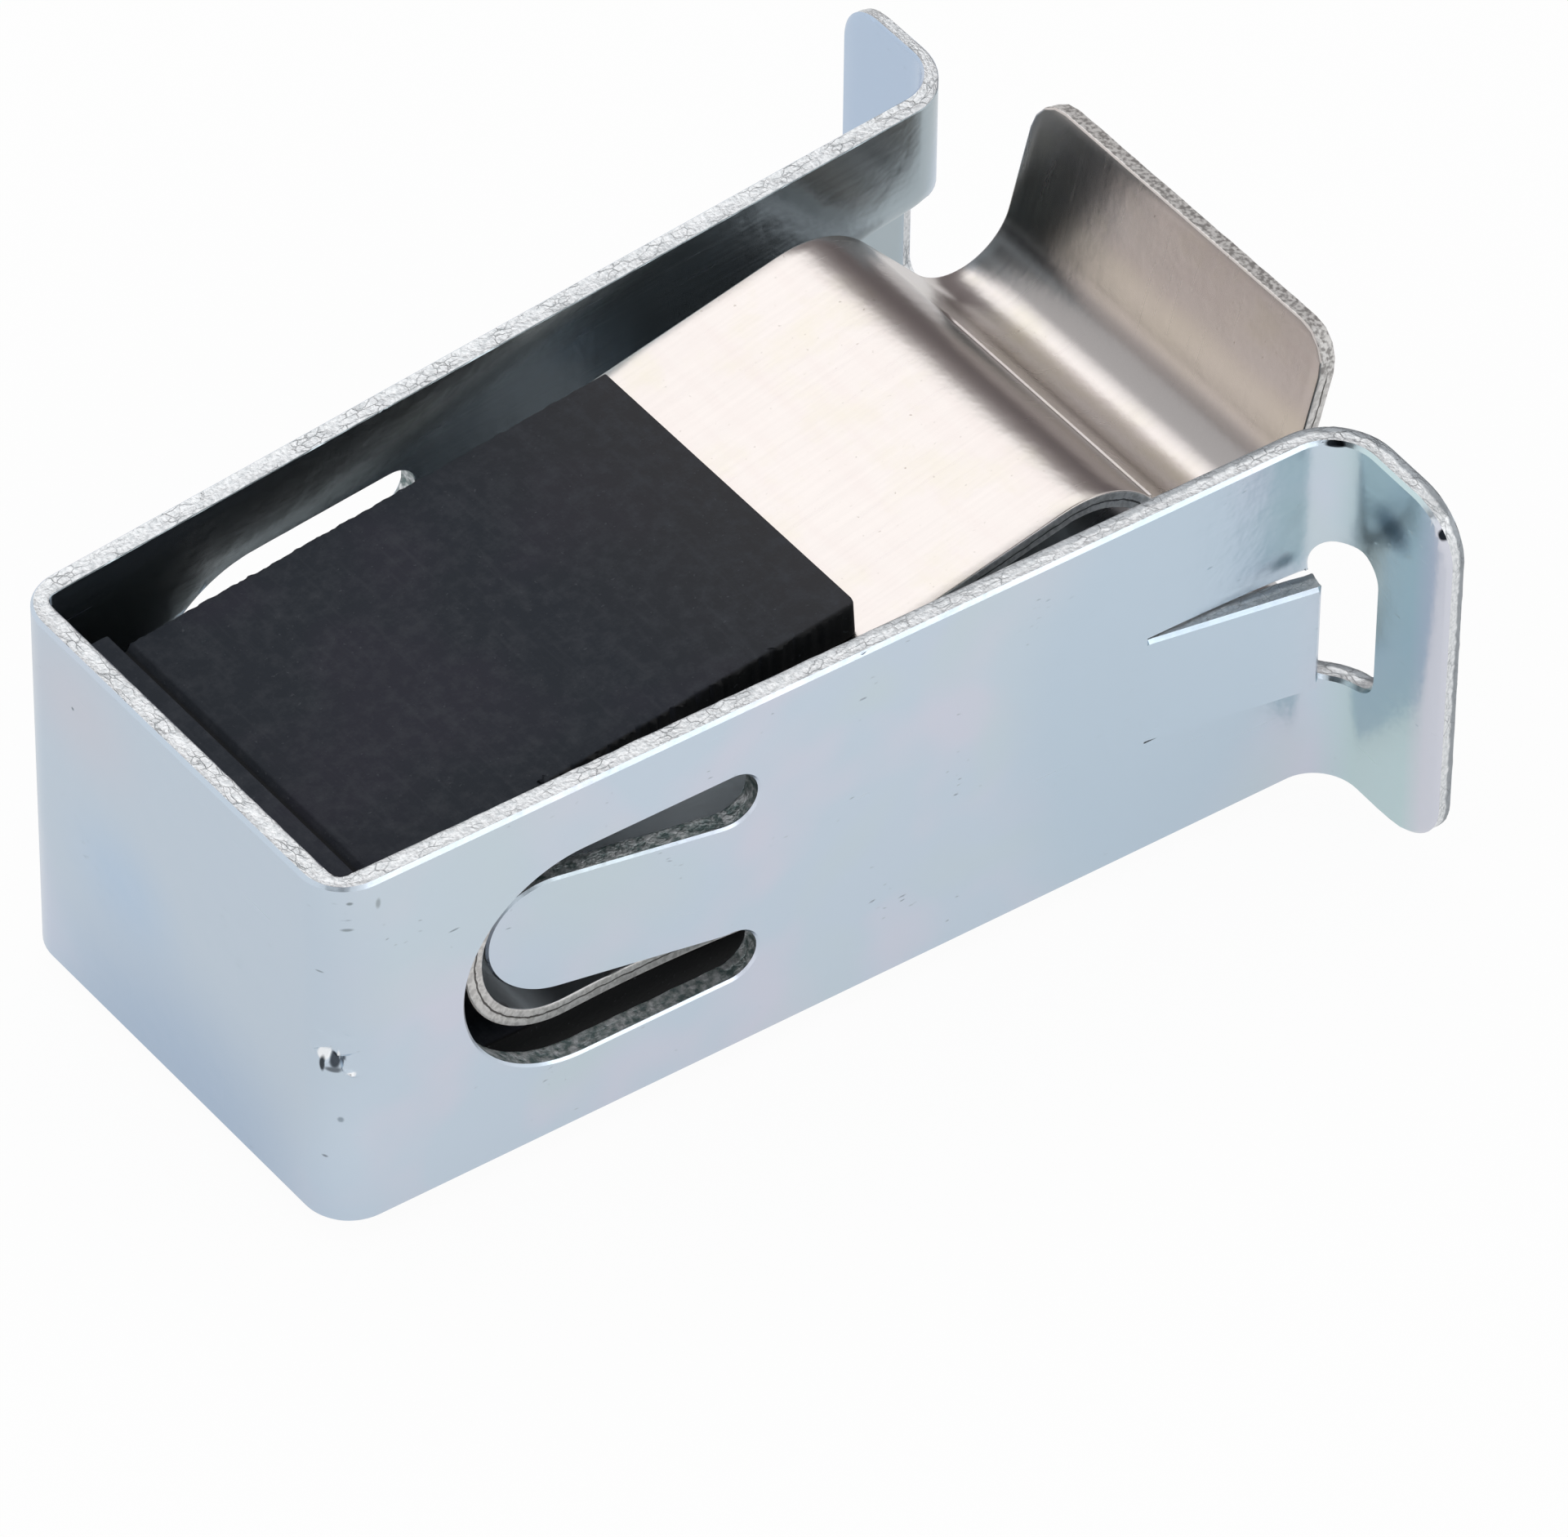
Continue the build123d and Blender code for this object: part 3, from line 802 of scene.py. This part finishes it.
housing = block(
    "housing_blank", (-strip_half, -STRIP_WIDTH / 2, 0), (strip_half, STRIP_WIDTH / 2, SHEET)
)
bevel_where(housing, upright, FLANGE_CORNER_RADIUS, segments=12)
for side in (-1, 1):
    rise, slot_from = SLOT_RISE[side], leg_from - SLOT_BACK[side]
    slot_middle, slot_arms = slot_from + SLOT_CENTER, slot_from + ARM_CENTER
    slot = punch_on(side, "slot", slot_middle, rise, SLOT_RADIUS)
    join_cut(slot, block_on(
        side, "arms", slot_middle, slot_arms, rise - SLOT_RADIUS, rise + SLOT_RADIUS
    ), "UNION")
    for up in (-1, 1):
        join_cut(slot, punch_on(
            side, "arm_end", slot_arms, rise + up * ARM_MIDDLE, ARM_RADIUS, sides=48
        ), "UNION")
    tongue_middle = slot_from + TONGUE_TIP + TONGUE_RADIUS
    tongue = punch_on(side, "tongue", tongue_middle, rise, TONGUE_RADIUS, spare=2)
    join_cut(tongue, block_on(
        side, "stem", tongue_middle, slot_arms + 3, rise - TONGUE_RADIUS, rise + TONGUE_RADIUS,
        spare=2,
    ), "UNION")
    join_cut(slot, tongue)
    join_cut(housing, slot)
    window_from = leg_from + TAB_END
    window = block_on(
        side, "window", window_from, window_end, -WINDOW_HEIGHT / 2, WINDOW_HEIGHT / 2
    )
    bevel_where(window, upright, WINDOW_CORNER_RADIUS, segments=8)
    join_cut(housing, window)
    if side > 0:
        join_cut(housing, block_on(
            side, "notch", window_from, window_from + NOTCH_LENGTH, NOTCH_FROM, WINDOW_HEIGHT / 2
        ))
    for up in (-1, 1):
        low, high = sorted(
            up * reach - TAB_DROP[side] for reach in (TAB_HEIGHT / 2, TAB_HEIGHT / 2 - LANCE_GAP)
        )
        join_cut(housing, block_on(
            side, "slit", leg_from + TAB_ROOT, leg_from + SLIT_END, low, high
        ))

# The punch mark is a split pit, from two blows of a blunt point side by side: place from
# the mark's middle, radius, depth, sides of the point, and turn
for right, up, radius, deep, sides, spin in (
    (-0.12, 0.0, 0.56, 0.42, 4, 0.30), (0.30, -0.26, 0.62, 0.44, 3, 0.90),
):
    bpy.ops.object.select_all(action="DESELECT")
    bpy.ops.mesh.primitive_cone_add(
        vertices=sides, radius1=radius, radius2=0, depth=deep,
        location=(-MARK_ALONG - right, MARK_UP + up, deep / 2 - 0.06), rotation=(0, 0, spin),
    )
    point = bpy.context.active_object
    bpy.ops.object.transform_apply(location=True, rotation=True, scale=False)
    join_cut(housing, point)
open_edit(housing, "VERT")
bpy.ops.mesh.select_all(action="SELECT")
bpy.ops.mesh.remove_doubles(threshold=0.004)
bpy.ops.object.mode_set(mode="OBJECT")


def in_slit(point):
    place = abs(point.x) - leg_from
    drop = TAB_DROP[1 if point.x > 0 else -1]
    return (
        TAB_ROOT - CLOSE < place < SLIT_END + CLOSE
        and TAB_HEIGHT / 2 - LANCE_GAP - CLOSE < abs(point.y + drop) < TAB_HEIGHT / 2 + CLOSE
    )


def by_slot(a, b):
    return max(abs(a.x), abs(b.x)) < SLOTS_ALONG and max(abs(a.y), abs(b.y)) < SLOTS_ACROSS


def on_outer_edge(a, b, edge):
    on_face = a.z < CLOSE and b.z < CLOSE and edge.calc_face_angle(0) > 0.9
    return on_face and not (in_slit(a) and in_slit(b))


def on_inner_edge(a, b, edge):
    on_face = min(a.z, b.z) > SHEET - CLOSE and edge.calc_face_angle(0) > 0.5
    return on_face and not (in_slit(a) and in_slit(b))


# The slits get their flats as the sheet is folded
bevel_where(
    housing, lambda a, b, edge: on_outer_edge(a, b, edge) and not by_slot(a, b),
    FLAT_WIDTH, segments=1, clamp=False,
)
bevel_where(
    housing, lambda a, b, edge: on_outer_edge(a, b, edge) and by_slot(a, b),
    SLOT_FLAT_WIDTH, segments=1, clamp=False,
)
bevel_where(housing, on_inner_edge, INNER_BREAK, segments=2, clamp=False)

# The grid for the folding has coarse steps on the runs, finer ones round the bends, and
# the finest at the roots of tongues and tabs, the tips, the slits and the punch mark
RUN_STEP = 0.5
ROW_STEP = 0.53
BEND_STEP = 0.22
FINE_STEP = 0.09
bends = spread(half_end, end_bend_stop, BEND_STEP) + spread(bend_from, flange_from, BEND_STEP)
bends += spread(leg_from + ARM_CENTER - 0.85, leg_from + ARM_CENTER, 0.1)
bends += spread(leg_from + TAB_ROOT, leg_from + TAB_ROOT + 0.27, FINE_STEP)
runs = spread(0, half_end, RUN_STEP) + spread(end_bend_stop, bend_from, RUN_STEP)
runs += spread(flange_from, strip_half - 1, RUN_STEP)
runs += spread(strip_half - 0.9, strip_half, 0.15)
places = [place for place in mirrored(bends + runs) if abs(place) < strip_half - 0.1]
places += [-place for place in spread(MARK_ALONG - 0.85, MARK_ALONG + 0.95, FINE_STEP)]
slice_at(housing, places, ALONG)
rows = spread(-STRIP_WIDTH / 2, STRIP_WIDTH / 2, ROW_STEP)[1:-1]
rows += spread(MARK_UP - 1.0, MARK_UP + 1.1, FINE_STEP)
rows += [sign * (STRIP_WIDTH / 2 - inwards) for sign in (-1, 1) for inwards in (0.15, 0.25, 0.35)]
for drop in TAB_DROP.values():
    rows += [TAB_HEIGHT / 2 - drop + above for above in (FLAT_WIDTH, 0.25, 0.35, 0.45, 0.65)]
    rows.append(TAB_HEIGHT / 2 - LANCE_GAP - drop - FLAT_WIDTH)
slice_at(housing, rows, ACROSS)
slice_at(housing, (0.3, 0.45, 0.6, 0.7), THROUGH)

dress_cut(housing, zinc, edge, raggedness=0.09)
fold(housing, fold_housing)
finish_piece(housing, "housing_sheet", ["housing"])

# ---------------------------------------------------------------- spring

crest_x = -BODY_DEPTH + CREST_REACH
branch_end = (
    -BODY_DEPTH + LOOP_START + LOOP_RADIUS + BRANCH_RADIUS * sin(BRANCH_ANGLE),
    LOOP_RADIUS + BRANCH_RADIUS * (1 - cos(BRANCH_ANGLE)),
)
crest = (crest_x, branch_end[1] + (crest_x - branch_end[0]) * tan(BRANCH_ANGLE))
half_corner = (pi - FALL_ANGLE - LIP_ANGLE) / 2
corner_drop = VALLEY_RADIUS * (cos((FALL_ANGLE - LIP_ANGLE) / 2) / sin(half_corner) - 1)
valley_z = THROAT - corner_drop
valley = (crest[0] + (crest[1] - valley_z) / tan(FALL_ANGLE), valley_z)
tip_z = THROAT + LIP_HEIGHT
tip = (valley[0] + (tip_z - valley_z) / tan(LIP_ANGLE), tip_z)
crest_turn = BRANCH_ANGLE + FALL_ANGLE
valley_turn = FALL_ANGLE + LIP_ANGLE
crest_tangent = CREST_RADIUS * tan(crest_turn / 2)
valley_tangent = VALLEY_RADIUS * tan(valley_turn / 2)
leaf_runs = [
    (LOOP_RADIUS * pi / 2, -pi / 2),
    (BRANCH_RADIUS * BRANCH_ANGLE, BRANCH_ANGLE),
    (hypot(crest[0] - branch_end[0], crest[1] - branch_end[1]) - crest_tangent, 0),
    (CREST_RADIUS * crest_turn, -crest_turn),
    (hypot(valley[0] - crest[0], valley[1] - crest[1]) - crest_tangent - valley_tangent, 0),
    (VALLEY_RADIUS * valley_turn, valley_turn),
    (hypot(tip[0] - valley[0], tip[1] - valley[1]) - valley_tangent, 0),
]
leaf_line = follow((-BODY_DEPTH + LOOP_START, 0.0), pi / 2, leaf_runs)
leaf_half = sum(length for length, angle in leaf_runs)

# A tool mark stands up across the upper jaw, where the crest ends, and dies out before
# the far side: its distance along the leaf, half its width, its height, and its end
CREASE = 32.27
CREASE_HALF = 0.06
CREASE_HEIGHT = 0.07
CREASE_END = 3.7


def fold_leaf(u, v, w):
    """Folded place of a point of the leaf's blank."""
    side = 1 if u >= 0 else -1
    x, z, turned = leaf_line(min(abs(u), leaf_half))
    if w < CLOSE and v < CREASE_END:
        w -= CREASE_HEIGHT * max(0.0, 1 - abs(u - CREASE) / CREASE_HALF)
    return x + w * sin(turned), v + LEAF_SHIFT, side * (z - w * cos(turned))


leaf = block("leaf_blank", (-leaf_half, -LEAF_WIDTH / 2, 0), (leaf_half, LEAF_WIDTH / 2, LEAF))
bevel_where(leaf, upright, LIP_CHAMFER, segments=4)

# Slitting rounded the leaf's outer edges more than its inner ones
bevel_where(
    leaf, lambda a, b, edge: max(a.z, b.z) < CLOSE and edge.calc_face_angle(0) > 0.5,
    0.09, segments=3,
)
bevel_where(
    leaf, lambda a, b, edge: min(a.z, b.z) > LEAF - CLOSE and edge.calc_face_angle(0) > 0.5,
    0.05, segments=2,
)
places, at = [], 0.0
for length, angle in leaf_runs:
    step = RUN_STEP if angle == 0 else min(RUN_STEP, abs(length / angle) * radians(5))
    places += spread(at, at + length, step)
    at += length
places = [place for place in mirrored(places) if abs(place) < leaf_half - 0.1]
slice_at(leaf, places + [CREASE - CREASE_HALF, CREASE, CREASE + CREASE_HALF], ALONG)
slice_at(leaf, spread(-LEAF_WIDTH / 2, LEAF_WIDTH / 2, ROW_STEP)[1:-1], ACROSS)
slice_at(leaf, (0.2, 0.35, 0.5, 0.6), THROUGH)
dress_cut(leaf, spring_steel, leaf_edge, raggedness=0.05)
fold(leaf, fold_leaf)
finish_piece(leaf, "jaw_leaf", ["jaw_spring"])

# ---------------------------------------------------------------- rubber

cad_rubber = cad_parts["rubber_block"]
channel = cad_rubber.copy()
channel.data = cad_rubber.data.copy()
channel.parent = None
bpy.context.collection.objects.link(channel)
for key in list(channel.keys()):
    del channel[key]
open_edit(channel, "VERT")
bpy.ops.mesh.select_all(action="SELECT")
bpy.ops.mesh.remove_doubles(threshold=1e-6)
bpy.ops.mesh.select_all(action="SELECT")
bpy.ops.mesh.dissolve_limited(angle_limit=radians(0.5))
bpy.ops.object.mode_set(mode="OBJECT")
channel.data.materials.clear()
channel.data.materials.append(rubber)
low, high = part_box("rubber_block")

# The blade rounded the near corners of the arms' ends
bevel_where(
    channel,
    lambda a, b, edge: min(a.x, b.x) > high.x - 0.2 * MM and abs(a.z - b.z) > 1 * MM
    and max(a.y, b.y) < low.y + 0.01 * MM,
    0.40 * MM, segments=3,
)
bevel_where(channel, lambda a, b, edge: edge.calc_face_angle(0) > 0.5, 0.08 * MM, segments=2)
slice_at(channel, spread(low.x, high.x, 0.12 * MM)[1:-1], ALONG)
slice_at(channel, spread(low.y, high.y, 1.0 * MM)[1:-1], ACROSS)
slice_at(channel, [low.y + 0.25 * MM, low.y + 0.5 * MM], ACROSS)

# The blade that cut the strip to width chattered, and left the near side saw-toothed
# along its upper edge. The web leans back a little over its upper part, behind a shallow
# groove in the arms
WEB_END = (-BODY_DEPTH + SHEET + END_GAP + WEB) * MM
WEB_LEAN = 0.36 * MM
LEAN_DEPTH = 0.8 * MM
GROOVE_DEPTH = 0.25 * MM
GROOVE_FROM = WEB_END + 0.04 * MM
GROOVE_TO = WEB_END + 0.46 * MM
ARM_TOP = 5.7 * MM
near_side = channel.vertex_groups.new(name="near_side")
far_side = channel.vertex_groups.new(name="far_side")
for point in channel.data.vertices:
    place = point.co
    along = min(1.0, max(0.0, (place.x - low.x - 0.6 * MM) / (2 * MM)))
    along *= min(1.0, max(0.0, (high.x - 0.4 * MM - place.x) / (1 * MM)))
    top = ARM_TOP + (place.x - low.x) * tan(RUBBER_SPLAY)
    if place.y < low.y + 0.3 * MM and place.z > 0:
        share = min(1.0, max(0.1, 1 - (top - place.z) / (0.6 * MM)))
        near_side.add([point.index], along * share, "REPLACE")
    if place.y > high.y - 0.2 * MM:
        far_side.add([point.index], 0.6 * along, "REPLACE")
    if abs(place.z) > top - 0.3 * MM and GROOVE_FROM < place.x < GROOVE_TO:
        place.z -= GROOVE_DEPTH if place.z > 0 else -GROOVE_DEPTH
    if abs(place.z) > top + 0.3 * MM and place.x > WEB_END - LEAN_DEPTH:
        place.x -= WEB_LEAN * (place.x - WEB_END + LEAN_DEPTH) / LEAN_DEPTH
chatter = bpy.data.textures.new("chatter", "CLOUDS")
chatter.noise_scale = 0.30 * MM
chatter.noise_depth = 2
for side, mid_level, strength in ((near_side, 0.42, 0.75), (far_side, 0.5, 0.30)):
    cut_marks = channel.modifiers.new("chatter", "DISPLACE")
    cut_marks.texture = chatter
    cut_marks.texture_coords = "LOCAL"
    cut_marks.direction = "Y"
    cut_marks.mid_level = mid_level
    cut_marks.strength = strength * MM
    cut_marks.vertex_group = side.name
    only(channel)
    bpy.ops.object.modifier_apply(modifier=cut_marks.name)
finish_piece(channel, "rubber_channel", ["rubber_block"])

# ---------------------------------------------------------------- floor and light

# A pale floor that the camera and the metal see as white, and that keeps the shadow
ground, tree = new_material("white_paper")
light_path = node(tree, "ShaderNodeLightPath")
mirrored_ray = node(tree, "ShaderNodeMath", {
    0: light_path.outputs["Is Glossy Ray"], 1: light_path.outputs["Is Transmission Ray"]},
    operation="MAXIMUM")
mirrored_share = node(tree, "ShaderNodeMath", {
    0: mirrored_ray, 1: 0.6}, operation="MULTIPLY")
share = node(tree, "ShaderNodeMath", {
    0: light_path.outputs["Is Camera Ray"], 1: 0.95, 2: mirrored_share}, operation="MULTIPLY_ADD")
plain = node(tree, "ShaderNodeBsdfDiffuse", {"Color": srgb("EEEEEE")})
white = node(tree, "ShaderNodeEmission", {"Color": srgb("FFFFFF"), "Strength": 1.0})
paper = node(tree, "ShaderNodeMixShader", {0: share, 1: plain, 2: white})
node(tree, "ShaderNodeOutputMaterial", {"Surface": paper})

# It lies a hair under the lower jaw, so that the two don't share a plane
bpy.ops.object.select_all(action="DESELECT")
bpy.ops.mesh.primitive_circle_add(
    vertices=96, radius=1.2, fill_type="NGON", location=(0, 0, FLOOR - 0.01 * MM)
)
floor = bpy.context.active_object
bpy.ops.object.transform_apply(location=True, rotation=False, scale=False)
floor.name = "floor"
floor.data.materials.append(ground)

world = bpy.data.worlds.new("white_room")
world.use_nodes = True
world.node_tree.nodes.clear()
sky = node(world.node_tree, "ShaderNodeBackground", {"Color": (1, 1, 1, 1), "Strength": 1.0})
node(world.node_tree, "ShaderNodeOutputWorld", {"Surface": sky})
bpy.context.scene.world = world

# Lamps and cards look at this point in the catch, in metres
aim = Vector((-0.015, 0, 0))


def soft_box(name, way, distance, size, glow):
    """An area lamp that looks at the catch; glow is how bright it looks, with the
    white room as 1."""
    lamp_data = bpy.data.lights.new(name, "AREA")
    lamp_data.shape = "RECTANGLE"
    lamp_data.size, lamp_data.size_y = size
    lamp_data.energy = glow * pi * size[0] * size[1]
    lamp = bpy.data.objects.new(name, lamp_data)
    bpy.context.collection.objects.link(lamp)
    way = Vector(way).normalized()
    lamp.location = aim + way * distance
    lamp.rotation_euler = way.to_track_quat("Z", "Y").to_euler()


def studio_card(name, way, distance, size, paint):
    """A plain card out of the picture, which the metal gives back."""
    bpy.ops.object.select_all(action="DESELECT")
    bpy.ops.mesh.primitive_plane_add(size=1)
    card = bpy.context.active_object
    card.name = name
    way = Vector(way).normalized()
    card.scale = (size[0], size[1], 1)
    card.location = aim + way * distance
    card.rotation_euler = (-way).to_track_quat("Z", "Y").to_euler()
    finish, tree = new_material(name)
    shader = node(tree, "ShaderNodeBsdfDiffuse", {"Color": srgb(paint)})
    node(tree, "ShaderNodeOutputMaterial", {"Surface": shader})
    card.data.materials.append(finish)
    card.visible_camera = False


# A box high behind the catch lights the rims and the leaf, one at the right the flats
# along the outer edges, and a small one those of the near tongue. A grey card low behind
# the mouth darkens the crests of the leaf. Dark cards stand by the camera and over the
# near leg, for the inside of the far one.
soft_box("back_box", (0.25, 0.54, 0.80), 0.5, (0.36, 0.20), 0.84)
soft_box("side_box", (0.46, -0.75, 0.48), 0.5, (0.26, 0.20), 1.0)
soft_box("tongue_box", (0.10, -0.76, 0.64), 0.45, (0.10, 0.07), 1.0)
studio_card("grey_card", (0.77, 0.56, 0.29), 0.45, (0.55, 0.36), "938C8D")
studio_card("black_card", (0.205, -0.48, 0.855), 0.5, (0.34, 0.22), "22282A")
studio_card("camera_card", (-0.56, -0.43, 0.71), 0.55, (0.34, 0.30), "282C30")

# ---------------------------------------------------------------- camera

# A long lens at the photograph's viewing angle, with its place in metres and the ways
# that are right and up in the picture
CAMERA_PLACE = Vector((-0.23705, -0.28645, 0.34583))
CAMERA_RIGHT = Vector((0.79615, -0.60503, 0.00924))
CAMERA_UP = Vector((0.41764, 0.56049, 0.71515))
camera_data = bpy.data.cameras.new("camera")
camera_data.lens = 332.8125
camera_data.sensor_width = 36
camera_data.clip_start = 0.01
camera_data.clip_end = 10
camera = bpy.data.objects.new("camera", camera_data)
bpy.context.collection.objects.link(camera)
back = CAMERA_RIGHT.cross(CAMERA_UP).normalized()
up = back.cross(CAMERA_RIGHT).normalized()
turned = Matrix((CAMERA_RIGHT.normalized(), up, back)).transposed().to_4x4()
camera.matrix_world = Matrix.Translation(CAMERA_PLACE) @ turned
bpy.context.scene.camera = camera
bpy.context.scene.view_settings.view_transform = "Standard"
